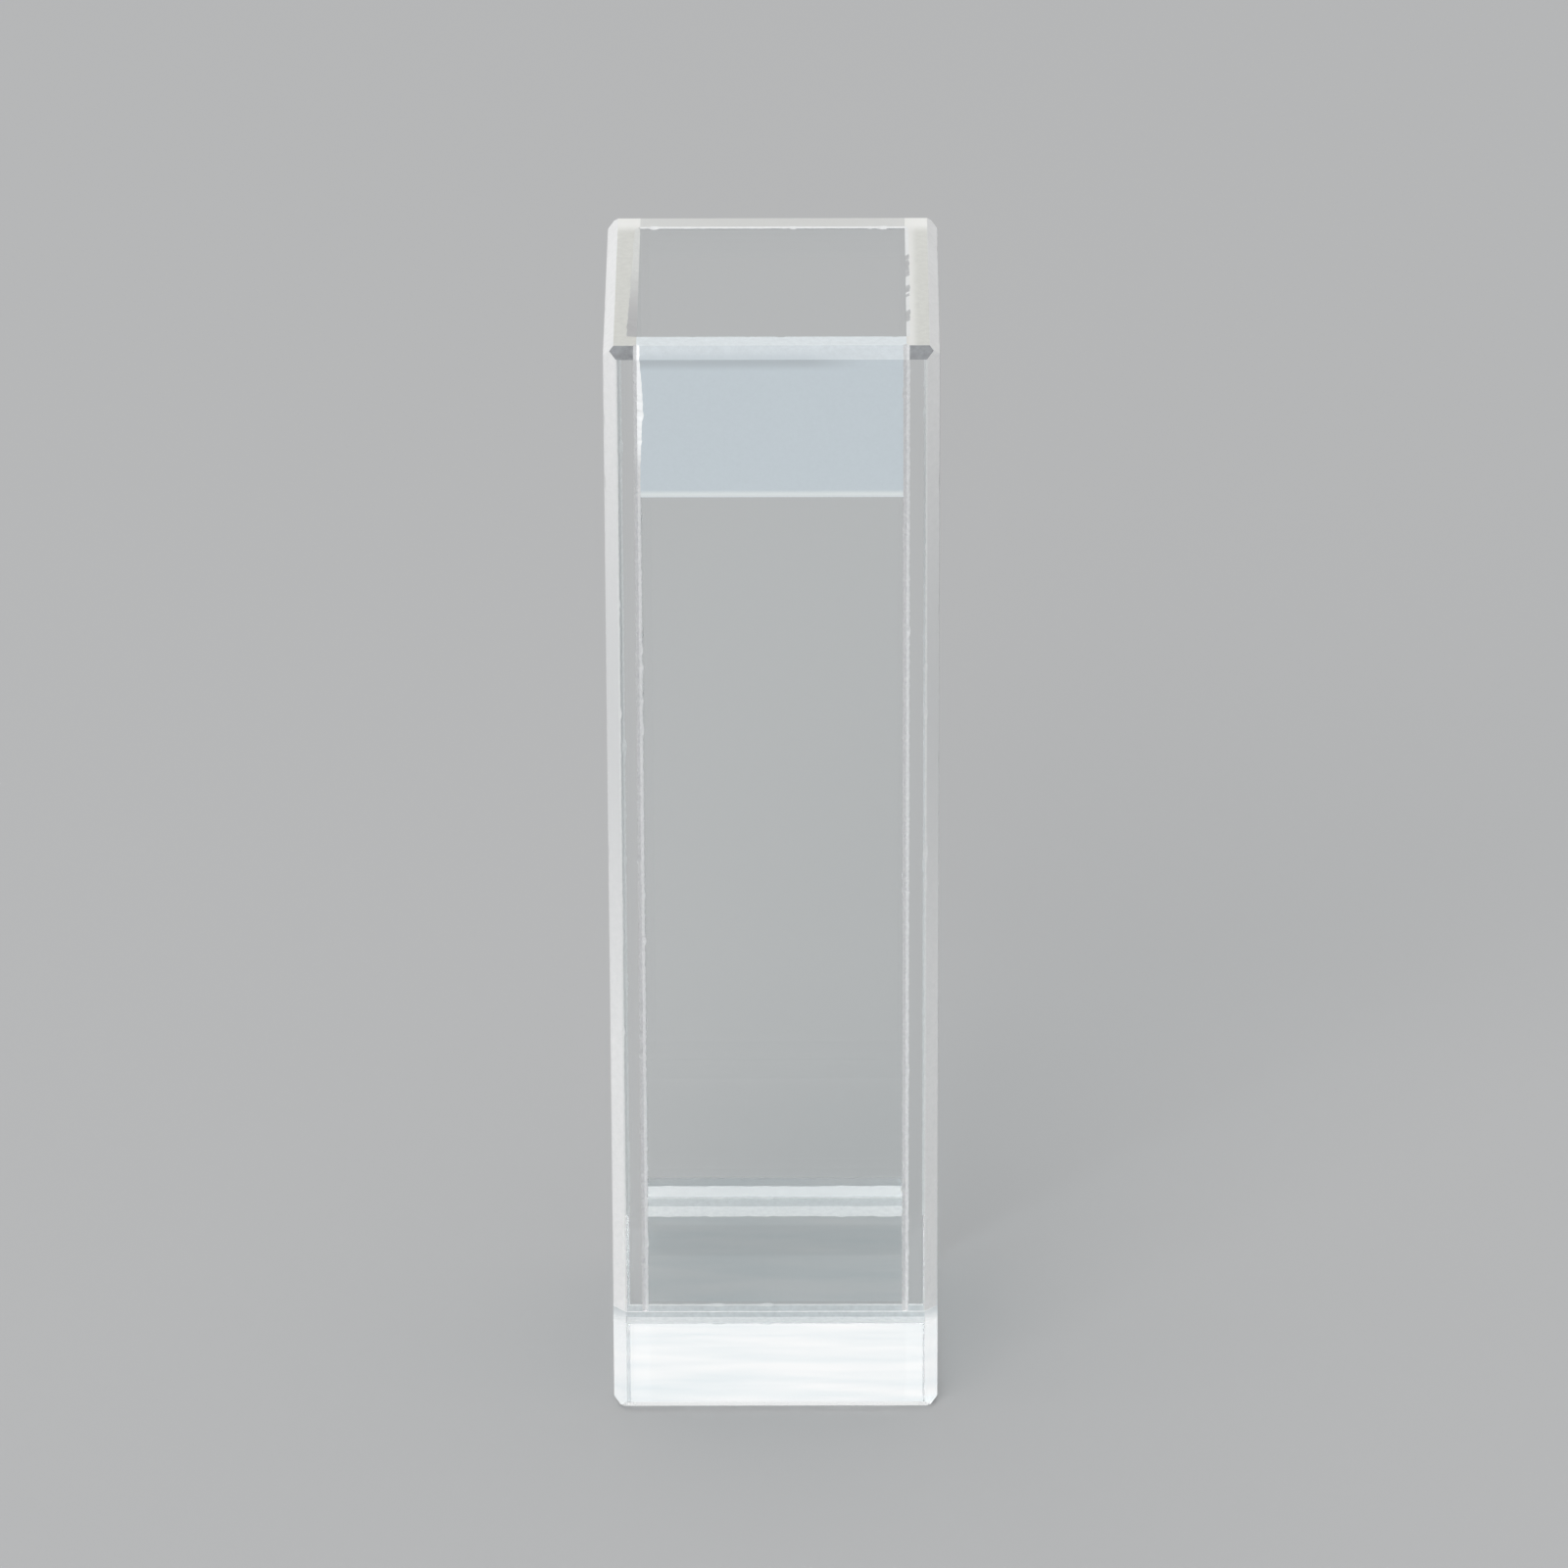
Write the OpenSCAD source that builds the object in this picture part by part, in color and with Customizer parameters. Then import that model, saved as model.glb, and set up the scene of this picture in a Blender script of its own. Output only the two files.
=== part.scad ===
// Square glass cuvette: four upright plates fused into a tube, standing on a thick base plate.
// Origin at the centre of the underside. +Z is up, and light passes along Y.
// The front window faces -Y and the side walls face -X and +X. All lengths are in millimetres.

/* [Cavity] */
// Light path: clear distance between the front and the back window
light_path = 10; // [2:0.5:20]
// Clear width between the two side walls
cavity_w = 10; // [4:0.5:20]
// Overall height, from the underside to the rim
cell_h = 45; // [20:0.5:60]

/* [Plates] */
// Thickness of the front and back windows
window_t = 1.25; // [0.8:0.05:3]
// Thickness of the left and right side walls
side_t = 1.25; // [0.8:0.05:3]
// Thickness of the base plate
base_t = 4.4; // [1:0.1:8]

/* [Ground edges] */
// Width that the bevel takes off each upright outer corner
corner_bevel = 0.5; // [0.1:0.05:0.7]
// Width that the bevel takes off the outer edges of the rim
rim_bevel = 0.4; // [0.1:0.05:0.7]
// Width that the bevel takes off the outer edges of the underside
foot_bevel = 0.4; // [0.1:0.05:0.7]

/* [Hidden] */

// Outer size of the cell, worked out from the cavity and the plates around it
outer_w = cavity_w + 2 * side_t;
outer_d = light_path + 2 * window_t;
// Height of the four upright plates, which stand on the base plate
wall_h = cell_h - base_t;

window_glass = [0.80, 0.90, 0.94, 0.45];
side_glass = [0.72, 0.84, 0.88, 0.45];
base_glass = [0.90, 0.95, 0.97, 0.60];

// Rectangle on the XY plane, centred on the origin, with its four corners cut at 45 degrees
module cut_corner_rectangle(w, d, bevel) {
    x = w / 2;
    y = d / 2;
    polygon([
        [-x + bevel, -y], [x - bevel, -y], [x, -y + bevel], [x, y - bevel],
        [x - bevel, y], [-x + bevel, y], [-x, y - bevel], [-x, -y + bevel]
    ]);
}

// Side view of the ground block: x across, y up, with the foot and the rim bevelled
module upright_profile(w) {
    x = w / 2;
    polygon([
        [-x + foot_bevel, 0], [x - foot_bevel, 0], [x, foot_bevel], [x, cell_h - rim_bevel],
        [x - rim_bevel, cell_h], [-x + rim_bevel, cell_h], [-x, cell_h - rim_bevel], [-x, foot_bevel]
    ]);
}

// The whole outer form of the cell after its edges are ground, as one solid block
module ground_block() {
    intersection() {
        linear_extrude(height = cell_h)
            cut_corner_rectangle(outer_w, outer_d, corner_bevel);
        rotate([90, 0, 0])
            linear_extrude(height = outer_d, center = true)
                upright_profile(outer_w);
        rotate([90, 0, 90])
            linear_extrude(height = outer_w, center = true)
                upright_profile(outer_d);
    }
}

// One plate of the cell: the block from one corner point, size long, with the ground outer edges
module plate(corner, size) {
    intersection() {
        translate(corner) cube(size);
        ground_block();
    }
}

// A window fills the cavity's width, between the side walls. side is -1 for front and 1 for back.
module window_plate(side) {
    y = side < 0 ? -outer_d / 2 : light_path / 2;
    plate([-cavity_w / 2, y, base_t], [cavity_w, window_t, wall_h]);
}

// A side wall runs the full depth of the cell. side is -1 for left and 1 for right.
module side_plate(side) {
    x = side < 0 ? -outer_w / 2 : cavity_w / 2;
    plate([x, -outer_d / 2, base_t], [side_t, outer_d, wall_h]);
}

module front_window() {
    color(window_glass) window_plate(-1);
}

module back_window() {
    color(window_glass) window_plate(1);
}

module left_wall() {
    color(side_glass) side_plate(-1);
}

module right_wall() {
    color(side_glass) side_plate(1);
}

// The base plate lies under all four upright plates and closes the cavity
module base_plate() {
    color(base_glass)
        plate([-outer_w / 2, -outer_d / 2, 0], [outer_w, outer_d, base_t]);
}

front_window();
back_window();
left_wall();
right_wall();
base_plate();
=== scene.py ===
"""Square glass cuvette: five fused plates with ground edges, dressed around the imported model.

Each plate is cut from one ground block by planes, as the CAD solids are, so that it fills its
node's place exactly. Its faces are then graded by what lies outside them (air, the cavity or a
neighbouring plate), its sharp edges get narrow chipped arrises, and each grade gets its finish.
"""

import logging
import math
import random
from dataclasses import dataclass
from enum import Enum, IntEnum

import bmesh
import bpy
from mathutils import Matrix, Vector


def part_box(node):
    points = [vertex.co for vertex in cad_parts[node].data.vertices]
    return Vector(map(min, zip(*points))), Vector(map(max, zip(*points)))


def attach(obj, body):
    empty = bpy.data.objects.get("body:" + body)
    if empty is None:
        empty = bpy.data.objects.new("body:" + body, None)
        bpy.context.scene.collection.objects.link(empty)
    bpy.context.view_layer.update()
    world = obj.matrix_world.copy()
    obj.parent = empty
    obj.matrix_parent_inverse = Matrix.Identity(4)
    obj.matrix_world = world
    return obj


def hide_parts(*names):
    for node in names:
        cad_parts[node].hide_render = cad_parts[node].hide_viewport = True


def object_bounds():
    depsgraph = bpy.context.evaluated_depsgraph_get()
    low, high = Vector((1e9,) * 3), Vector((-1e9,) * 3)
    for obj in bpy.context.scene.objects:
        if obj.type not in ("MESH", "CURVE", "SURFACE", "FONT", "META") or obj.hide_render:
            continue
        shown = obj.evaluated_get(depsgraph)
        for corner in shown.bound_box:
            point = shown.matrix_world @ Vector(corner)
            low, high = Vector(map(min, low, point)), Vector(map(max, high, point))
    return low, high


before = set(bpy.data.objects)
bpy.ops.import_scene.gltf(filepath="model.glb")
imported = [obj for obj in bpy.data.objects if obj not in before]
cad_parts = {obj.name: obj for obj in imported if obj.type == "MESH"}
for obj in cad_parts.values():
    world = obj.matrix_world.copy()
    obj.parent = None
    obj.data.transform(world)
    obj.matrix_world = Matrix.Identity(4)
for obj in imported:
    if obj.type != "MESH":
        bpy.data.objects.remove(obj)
cad_low, cad_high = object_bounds()

log = logging.getLogger("cuvette")

Mesh = bmesh.types.BMesh
Face = bmesh.types.BMFace
Edge = bmesh.types.BMEdge
Socket = bpy.types.NodeSocket
Plane = tuple[Vector, Vector]
Colour = tuple[float, float, float]
Wash = tuple[Socket, Colour]

MM = 0.001
"""One millimetre, in metres."""
FLAT = 1e-6
"""Distance within which a point counts as lying on a plane."""
HAIR = FLAT * 0.1
"""Distance within which a cut takes a point that is there already."""
MERGE = FLAT * 0.5
"""Distance within which two points become one."""
PEEK = 10 * FLAT
"""Distance from a face at which the script looks what lies outside it."""
ALIGNED = 0.99
"""Cosine from which two directions count as one."""
TOWARDS = 0.5
"""A normal faces an axis's way from this coordinate on."""
WHITE: Colour = (1.0, 1.0, 1.0)
"""Colour of what adds none of its own."""
"""Where the two boxes are written."""

X, Y, Z = range(3)
"""Numbers of the axes."""
RIGHT = Vector((1, 0, 0))
BACK = Vector((0, 1, 0))
UP = Vector((0, 0, 1))
"""Directions, as seen from the front."""


class Surface(IntEnum):
    """The grades of glass surface, each with a material of its own."""

    POLISHED = 0
    UNDERSIDE = 1
    MARGIN = 2
    RIM = 3
    WINDOW_RIM = 4
    WINDOW_BEVEL = 5
    FACET = 6
    BEVEL = 7
    FOOT_BEVEL = 8
    BACK_FOOT = 9
    FROSTED = 10
    BOND = 11
    CHIPPED = 12
    WORN = 13
    SEAM = 14
    NOTCH = 15


WEARING_GRADES = {
    Surface.MARGIN,
    Surface.RIM,
    Surface.WINDOW_RIM,
    Surface.WINDOW_BEVEL,
    Surface.BEVEL,
    Surface.BACK_FOOT,
}
"""The ground grades whose edges wear where they meet clear glass."""
CLEAR_GRADES = {Surface.POLISHED, Surface.UNDERSIDE}
"""The grades of clear glass that meets the air."""
STRIP_GRADES = {Surface.CHIPPED, Surface.WORN, Surface.SEAM, Surface.NOTCH}
"""The grades of the strips along worn edges."""


class Side(Enum):
    """The two sides that a mirrored plate can stand on."""

    LOW = -1
    HIGH = 1


# ---------------------------------------------------------------------------------------------
# Sizes
# ---------------------------------------------------------------------------------------------


def lowest_on(node: str, plane_axis: int, plane: float, axis: int) -> float:
    """Lowest coordinate along one axis of the CAD node's vertices that lie in a plane.

    Args:
        node: the CAD node.
        plane_axis: the axis that the plane is square to.
        plane: the plane's place on that axis.
        axis: the axis to measure along.

    Returns:
        The lowest coordinate, in metres.
    """
    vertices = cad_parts[node].data.vertices
    return min(v.co[axis] for v in vertices if abs(v.co[plane_axis] - plane) < FLAT)


@dataclass(frozen=True)
class CellSizes:
    """The sizes of the cell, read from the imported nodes.

    Attributes:
        low: lowest corner of the whole cell.
        high: highest corner of the whole cell.
        cavity_low: lowest corner of the cavity.
        cavity_high: highest corner of the cavity, at the rim.
        corner_bevel: what the bevel takes off each upright corner.
        rim_bevel: what the bevel takes off the rim's outer edges.
        foot_bevel: what the bevel takes off the underside's edges.
        band_height: height of the frosted band, from the rim down.
    """

    low: Vector
    high: Vector
    cavity_low: Vector
    cavity_high: Vector
    corner_bevel: float
    rim_bevel: float
    foot_bevel: float
    band_height: float = 6.0 * MM

    @classmethod
    def from_frame(cls) -> "CellSizes":
        """Reads every size but the band's height from the nodes' boxes and the ground corners of their
        meshes.

        Returns:
            The sizes.
        """
        left_low, left_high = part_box("left_wall")
        right_low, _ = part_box("right_wall")
        _, front_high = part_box("front_window")
        back_low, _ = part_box("back_window")
        _, base_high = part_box("base_plate")
        rim = left_high.z
        return cls(
            low=cad_low.copy(),
            high=cad_high.copy(),
            cavity_low=Vector((left_high.x, front_high.y, base_high.z)),
            cavity_high=Vector((right_low.x, back_low.y, rim)),
            corner_bevel=lowest_on("left_wall", Y, left_low.y, X) - left_low.x,
            rim_bevel=lowest_on("left_wall", Z, rim, X) - left_low.x,
            foot_bevel=lowest_on("base_plate", Z, cad_low.z, X) - cad_low.x,
        )

    @property
    def band_foot(self) -> float:
        """Height of the frosted band's lower edge."""
        return self.high.z - self.band_height

    def cavity_corner(self, side: Side) -> Vector:
        """The cavity's corner at one side."""
        return self.cavity_low if side is Side.LOW else self.cavity_high

    def in_cavity(self, point: Vector) -> bool:
        """True if a point lies in the cavity."""
        return all(a < p < b for a, p, b in zip(self.cavity_low, point, self.cavity_high))

    def in_block(self, point: Vector) -> bool:
        """True if a point lies in the box round the whole cell."""
        return all(a < p < b for a, p, b in zip(self.low, point, self.high))


# ---------------------------------------------------------------------------------------------
# Cutting and grinding
# ---------------------------------------------------------------------------------------------


def score(mesh: Mesh, point: Vector, normal: Vector, clear: bool = False) -> list[Edge]:
    """Draws the line where a plane crosses the surface.

    Args:
        mesh: the solid.
        point: a point on the plane.
        normal: the plane's normal.
        clear: True to remove what lies on the normal's side, and leave the cut open.

    Returns:
        The line's edges.
    """
    cut = bmesh.ops.bisect_plane(
        mesh,
        geom=mesh.verts[:] + mesh.edges[:] + mesh.faces[:],
        dist=HAIR,
        plane_co=point,
        plane_no=normal,
        clear_outer=clear,
    )
    return [element for element in cut["geom_cut"] if isinstance(element, Edge)]


def grind_off(mesh: Mesh, point: Vector, outward: Vector) -> None:
    """Removes what lies beyond a plane and closes the cut with one flat face.

    Args:
        mesh: the closed solid.
        point: a point on the plane.
        outward: the plane's normal, towards what is removed.
    """
    edges = [edge for edge in score(mesh, point, outward, clear=True) if edge.is_boundary]
    if edges:
        bmesh.ops.contextual_create(mesh, geom=edges)
    bmesh.ops.recalc_face_normals(mesh, faces=mesh.faces[:])


def ground_block(sizes: CellSizes) -> Mesh:
    """The outer form of the cell as one solid, with its corners, rim and foot ground.

    Args:
        sizes: the cell's sizes.

    Returns:
        A closed mesh.
    """
    mesh = bmesh.new()
    bmesh.ops.create_cube(mesh, size=1.0)
    extent = sizes.high - sizes.low
    centre = (sizes.high + sizes.low) / 2
    placing = Matrix.Translation(centre) @ Matrix.Diagonal((*extent, 1.0))
    bmesh.ops.transform(mesh, matrix=placing, verts=mesh.verts[:])
    for x in (-1, 1):
        for y in (-1, 1):
            corner = Vector((x * extent.x / 2, y * extent.y / 2, 0)) + centre
            inset = Vector((x * sizes.corner_bevel, 0, 0))
            grind_off(mesh, corner - inset, Vector((x, y, 0)))
    for z, level, bevel in ((1, sizes.high.z, sizes.rim_bevel), (-1, sizes.low.z, sizes.foot_bevel)):
        for axis in (X, Y):
            for side in (-1, 1):
                outward = Vector((0, 0, z))
                outward[axis] = side
                point = Vector((centre.x, centre.y, level))
                point[axis] += side * (extent[axis] / 2 - bevel)
                grind_off(mesh, point, outward)
    return mesh


# ---------------------------------------------------------------------------------------------
# Arrises: the narrow chipped strips along the plates' sharp edges
# ---------------------------------------------------------------------------------------------


@dataclass(frozen=True)
class Chipping:
    """The chips along one edge, each as its place, its half width and its depth."""

    bites: tuple[tuple[float, float, float], ...]

    def depth(self, along: float) -> float:
        """Depth of the deepest chip at a place along the edge.

        Args:
            along: the place, from the edge's start.

        Returns:
            The depth, in metres, or zero between the chips.
        """
        deepest = 0.0
        for place, half, deep in self.bites:
            off = abs(along - place) / half
            if off < 1:
                deepest = max(deepest, deep * math.sqrt(1 - off * off))
        return deepest


@dataclass(frozen=True)
class Arris:
    """How a sharp edge between two grades of surface is worn.

    Attributes:
        surface: the grade of the strip.
        width: what the even strip takes off each face.
        pitch: distance between the strip's points.
        ripple: the most that each point strays into its face.
        bites_per_mm: how many chips there are in each millimetre.
        bite_width: the widest chip, along the edge.
        bite_depth: the deepest chip, into the faces.
        notch_from: the depth from which a chip is a smooth notch, by default more than any has.
        least_bite: root of the smallest chip's share of the largest.
        least_share: the least share of a chip's depth that goes into one of its two faces.
    """

    surface: Surface
    width: float
    pitch: float
    ripple: float
    bites_per_mm: float
    bite_width: float
    bite_depth: float
    notch_from: float = 1.0
    least_bite: float = 0.25
    least_share: float = 0.6

    def profile(self, length: float, dice: random.Random) -> Chipping:
        """Draws the chips for one edge, most of them small.

        Args:
            length: the edge's length.
            dice: where the chips come from.

        Returns:
            The chips.
        """
        bites = []
        for _ in range(round(self.bites_per_mm * length / MM)):
            size = dice.uniform(self.least_bite, 1.0) ** 2
            bites.append((dice.uniform(0, length), size * self.bite_width / 2, size * self.bite_depth))
        return Chipping(tuple(bites))


RIM_ARRIS = Arris(
    Surface.CHIPPED,
    width=0.05 * MM,
    pitch=0.08 * MM,
    ripple=0.010 * MM,
    bites_per_mm=0.8,
    bite_width=0.40 * MM,
    bite_depth=0.06 * MM,
)
"""Along the windows' sides of the mouth."""
NOTCHED_ARRIS = Arris(
    Surface.CHIPPED,
    width=0.07 * MM,
    pitch=0.05 * MM,
    ripple=0.005 * MM,
    bites_per_mm=1.5,
    bite_width=0.80 * MM,
    bite_depth=0.13 * MM,
    notch_from=0.04 * MM,
)
"""Along the right side of the mouth, where smooth notches break it."""
WORN_ARRIS = Arris(
    Surface.WORN,
    width=0.06 * MM,
    pitch=0.20 * MM,
    ripple=0.025 * MM,
    bites_per_mm=0.3,
    bite_width=0.9 * MM,
    bite_depth=0.06 * MM,
)
"""Along the left side of the mouth, where it is worn smooth."""
BEVEL_ARRIS = Arris(
    Surface.CHIPPED,
    width=0.03 * MM,
    pitch=0.16 * MM,
    ripple=0.014 * MM,
    bites_per_mm=0.25,
    bite_width=0.7 * MM,
    bite_depth=0.07 * MM,
)
"""Where a ground bevel meets a polished face."""
SEAM_ARRIS = Arris(
    Surface.SEAM,
    width=0.11 * MM,
    pitch=0.10 * MM,
    ripple=0.02 * MM,
    bites_per_mm=0.5,
    bite_width=0.4 * MM,
    bite_depth=0.05 * MM,
)
"""Along the upright seams between fused plates."""
BASE_ARRIS = Arris(
    Surface.SEAM,
    width=0.02 * MM,
    pitch=0.20 * MM,
    ripple=0.01 * MM,
    bites_per_mm=0.3,
    bite_width=0.5 * MM,
    bite_depth=0.03 * MM,
)
"""Along the seam round the base."""

ARRISES = (RIM_ARRIS, NOTCHED_ARRIS, WORN_ARRIS, BEVEL_ARRIS, SEAM_ARRIS, BASE_ARRIS)
"""Every kind of arris, in the order in which a plate's edges are worn."""


def arris_for(grades: set[Surface], edge: Edge, sizes: CellSizes) -> Arris | None:
    """Chooses how an edge is worn.

    Args:
        grades: the grades of the two faces that meet there.
        edge: the edge.
        sizes: the cell's sizes.

    Returns:
        The wear, or None if the edge stays sharp.
    """

    def lies_at(axis: int, place: float) -> bool:
        """True if both ends of the edge stand at that place on the axis."""
        return all(abs(end.co[axis] - place) < FLAT for end in edge.verts)

    if Surface.BOND in grades and len(grades) == 2:
        if not lies_at(Z, sizes.cavity_low.z):
            return SEAM_ARRIS
        at_back = all(end.co.y > sizes.cavity_high.y + FLAT for end in edge.verts)
        return None if at_back else BASE_ARRIS
    if not grades & WEARING_GRADES or not grades & CLEAR_GRADES:
        return None
    if not lies_at(Z, sizes.high.z):
        return BEVEL_ARRIS
    if lies_at(X, sizes.cavity_low.x):
        return WORN_ARRIS
    return NOTCHED_ARRIS if lies_at(X, sizes.cavity_high.x) else RIM_ARRIS


def wear_edges(mesh: Mesh, edges: list[Edge], arris: Arris, dice: random.Random) -> None:
    """Cuts a narrow strip along each edge and chips it.

    Args:
        mesh: the plate.
        edges: its edges that wear in this way.
        arris: how they are worn.
        dice: where the chips come from.
    """
    cut = bmesh.ops.bevel(
        mesh,
        geom=edges,
        offset=arris.width,
        offset_type="OFFSET",
        affect="EDGES",
        segments=1,
        profile=0.5,
        material=-1,
        clamp_overlap=False,
    )
    strips = set(cut["faces"])
    for face in strips:
        face.material_index = arris.surface
    quads = [face for face in strips if len(face.edges) == 4]
    for quad in sorted(quads, key=lambda f: tuple(f.calc_center_median())):
        chip_strip(mesh, quad, arris, dice)


def slide(edge: Edge, strip: Face, way: Vector) -> Vector | None:
    """Finds where a strip's long edge can slide.

    Args:
        edge: the long edge.
        strip: the strip.
        way: the direction along the strip.

    Returns:
        The direction into the face beside the strip, or None where that is a strip too.
    """
    face = next((f for f in edge.link_faces if f is not strip), None)
    if face is None or face.material_index in STRIP_GRADES:
        return None
    inward = (edge.verts[0].co + edge.verts[1].co) / 2 - strip.calc_center_median()
    inward -= face.normal * inward.dot(face.normal)
    inward -= way * inward.dot(way)
    return inward.normalized()


def chip_strip(mesh: Mesh, quad: Face, arris: Arris, dice: random.Random) -> None:
    """Divides one strip along its length and slides its points into the faces beside it.

    Args:
        mesh: the plate.
        quad: the strip.
        arris: how it is worn.
        dice: where its chips come from.
    """
    shorter, longer = sorted(quad.edges, key=lambda e: e.calc_length())[-2:]
    cuts = int(shorter.calc_length() / arris.pitch)
    if cuts < 2 or set(shorter.verts) & set(longer.verts):
        return
    start = longer.verts[0].co.copy()
    way = (longer.verts[1].co - start).normalized()
    chipping = arris.profile(longer.calc_length(), dice)
    slides = []
    for edge in (shorter, longer):
        inward = slide(edge, quad, way)
        if inward is not None:
            slides.append((edge.verts[0].co.copy(), inward, dice.uniform(arris.least_share, 1.0)))
    done = bmesh.ops.subdivide_edges(mesh, edges=[shorter, longer], cuts=cuts, use_grid_fill=True)
    points = [v for v in done["geom_inner"] if isinstance(v, bmesh.types.BMVert)]
    for origin, inward, share in slides:
        for point in points:
            offset = point.co - origin
            offset -= way * offset.dot(way)
            if offset.length < FLAT:
                along = (point.co - start).dot(way)
                point.co += inward * (chipping.depth(along) * share + dice.uniform(0, arris.ripple))
    for face in {f for point in points for f in point.link_faces if f.material_index == arris.surface}:
        along = (face.calc_center_median() - start).dot(way)
        if chipping.depth(along) > arris.notch_from:
            face.material_index = Surface.NOTCH


def roughen_line(mesh: Mesh, line: Edge, sway: Vector, pitch: float, dice: random.Random) -> None:
    """Makes a straight line that is scored on a flat face into an uneven one.

    Args:
        mesh: the plate.
        line: the line's one edge.
        sway: the furthest that a point strays, either way.
        pitch: distance between the line's points.
        dice: where the unevenness comes from.
    """
    cuts = round(line.calc_length() / pitch)
    done = bmesh.ops.subdivide_edges(mesh, edges=[line], cuts=cuts)
    for element in done["geom_inner"]:
        if isinstance(element, bmesh.types.BMVert):
            element.co += sway * dice.uniform(-1, 1) * dice.uniform(0, 1)


def settle_order(mesh: Mesh) -> None:
    """Stores the faces by their places, because the operators' own order varies between runs.

    Args:
        mesh: the plate.
    """
    placed = sorted(mesh.faces, key=lambda face: tuple(face.calc_center_median()))
    for number, face in enumerate(placed):
        face.index = number
    mesh.faces.sort()


# ---------------------------------------------------------------------------------------------
# Finishes
# ---------------------------------------------------------------------------------------------


def opaque(colour: Colour) -> tuple[float, float, float, float]:
    """A colour as the nodes take it."""
    return (*colour, 1.0)


class ShaderTree:
    """The node tree of a material or the world, with short calls for adding and joining nodes."""

    def __init__(self, owner: bpy.types.Material | bpy.types.World) -> None:
        """Starts a tree afresh.

        Args:
            owner: what the tree belongs to.
        """
        owner.use_nodes = True
        self.owner = owner
        self.tree = owner.node_tree
        self.tree.nodes.clear()

    @classmethod
    def named(cls, name: str) -> "ShaderTree":
        """Starts a new material of that name."""
        return cls(bpy.data.materials.new(name))

    def add(self, kind: str, **values: object) -> bpy.types.Node:
        """Adds a node.

        Args:
            kind: the node's type.
            values: inputs by name with spaces as underscores, or the node's own properties.

        Returns:
            The node.
        """
        node = self.tree.nodes.new(kind)
        for key, value in values.items():
            socket = key.replace("_", " ")
            if socket in node.inputs:
                node.inputs[socket].default_value = value
            else:
                setattr(node, key, value)
        return node

    def join(self, source: Socket, target: Socket) -> None:
        """Links two sockets."""
        self.tree.links.new(source, target)

    def feed(self, value: float | Socket, target: Socket) -> None:
        """Sets a socket to a number, or links another socket to it.

        Args:
            value: the number or the other socket.
            target: the socket.
        """
        if isinstance(value, float):
            target.default_value = value
        else:
            self.join(value, target)

    def mix(self, share: float | Socket, first: Socket, second: Socket) -> Socket:
        """Mixes two shaders.

        Args:
            share: how much of the second one shows.
            first: the first shader.
            second: the second shader.

        Returns:
            The mixed shader.
        """
        node = self.add("ShaderNodeMixShader")
        self.feed(share, node.inputs[0])
        self.join(first, node.inputs[1])
        self.join(second, node.inputs[2])
        return node.outputs[0]

    def ramp(self, source: Socket, low: tuple[float, Colour], high: tuple[float, Colour]) -> Socket:
        """Turns a value into a colour.

        Args:
            source: the value.
            low: the lower value and its colour.
            high: the higher value and its colour.

        Returns:
            The colour.
        """
        node = self.add("ShaderNodeValToRGB")
        for element, (position, colour) in zip(node.color_ramp.elements, (low, high)):
            element.position = position
            element.color = opaque(colour)
        self.join(source, node.inputs[0])
        return node.outputs["Color"]

    def blend(self, share: Socket, first: Socket, second: Colour) -> Socket:
        """Mixes a colour towards another.

        Args:
            share: how much of the second one shows.
            first: the first colour.
            second: the second colour.

        Returns:
            The mixed colour.
        """
        node = self.add("ShaderNodeMix", data_type="RGBA")
        inputs = {socket.identifier: socket for socket in node.inputs}
        inputs["B_Color"].default_value = opaque(second)
        self.join(share, inputs["Factor_Float"])
        self.join(first, inputs["A_Color"])
        return next(socket for socket in node.outputs if socket.identifier == "Result_Color")

    def combine(self, operation: str, first: Socket, second: float | Socket | None = None) -> Socket:
        """Reckons with one or two values.

        Args:
            operation: the Math node's operation.
            first: the first value.
            second: the second one, if the operation takes two.

        Returns:
            The result.
        """
        node = self.add("ShaderNodeMath", operation=operation)
        self.join(first, node.inputs[0])
        if second is not None:
            self.feed(second, node.inputs[1])
        return node.outputs[0]

    def fade(self, value: Socket, full: float, none: float, peak: float = 1.0) -> Socket:
        """A smooth step.

        Args:
            value: what it follows.
            full: where it is at its peak.
            none: where it is zero.
            peak: its highest value.

        Returns:
            The step, which goes from its peak to zero.
        """
        node = self.add("ShaderNodeMapRange", interpolation_type="SMOOTHSTEP")
        for name, number in (("From Min", full), ("From Max", none), ("To Min", peak), ("To Max", 0.0)):
            node.inputs[name].default_value = number
        self.join(value, node.inputs["Value"])
        return node.outputs["Result"]

    def stripe(self, value: Socket, middle: float, half: float) -> Socket:
        """A soft stripe.

        Args:
            value: what it follows.
            middle: where it is 1.
            half: how far from there it is zero.

        Returns:
            The stripe, which goes from 1 to zero both ways.
        """
        offset = self.combine("SUBTRACT", value, middle)
        return self.fade(self.combine("ABSOLUTE", offset), 0.0, half)

    def rays(self, *kinds: str) -> Socket:
        """Tells some kinds of ray from the others.

        Args:
            kinds: the kinds, as Light Path names them.

        Returns:
            A socket that is 1 for a ray of any of these kinds.
        """
        path = self.add("ShaderNodeLightPath")
        found = path.outputs[kinds[-1]]
        for kind in reversed(kinds[:-1]):
            found = self.combine("MAXIMUM", path.outputs[kind], found)
        return found

    def place(self) -> Socket:
        """The Object coordinates."""
        return self.add("ShaderNodeTexCoord").outputs["Object"]

    def along(self, place: Socket, axis: str) -> Socket:
        """One coordinate of a place.

        Args:
            place: the place.
            axis: X, Y or Z.

        Returns:
            The coordinate.
        """
        split = self.add("ShaderNodeSeparateXYZ")
        self.join(place, split.inputs[0])
        return split.outputs[axis]

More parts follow.
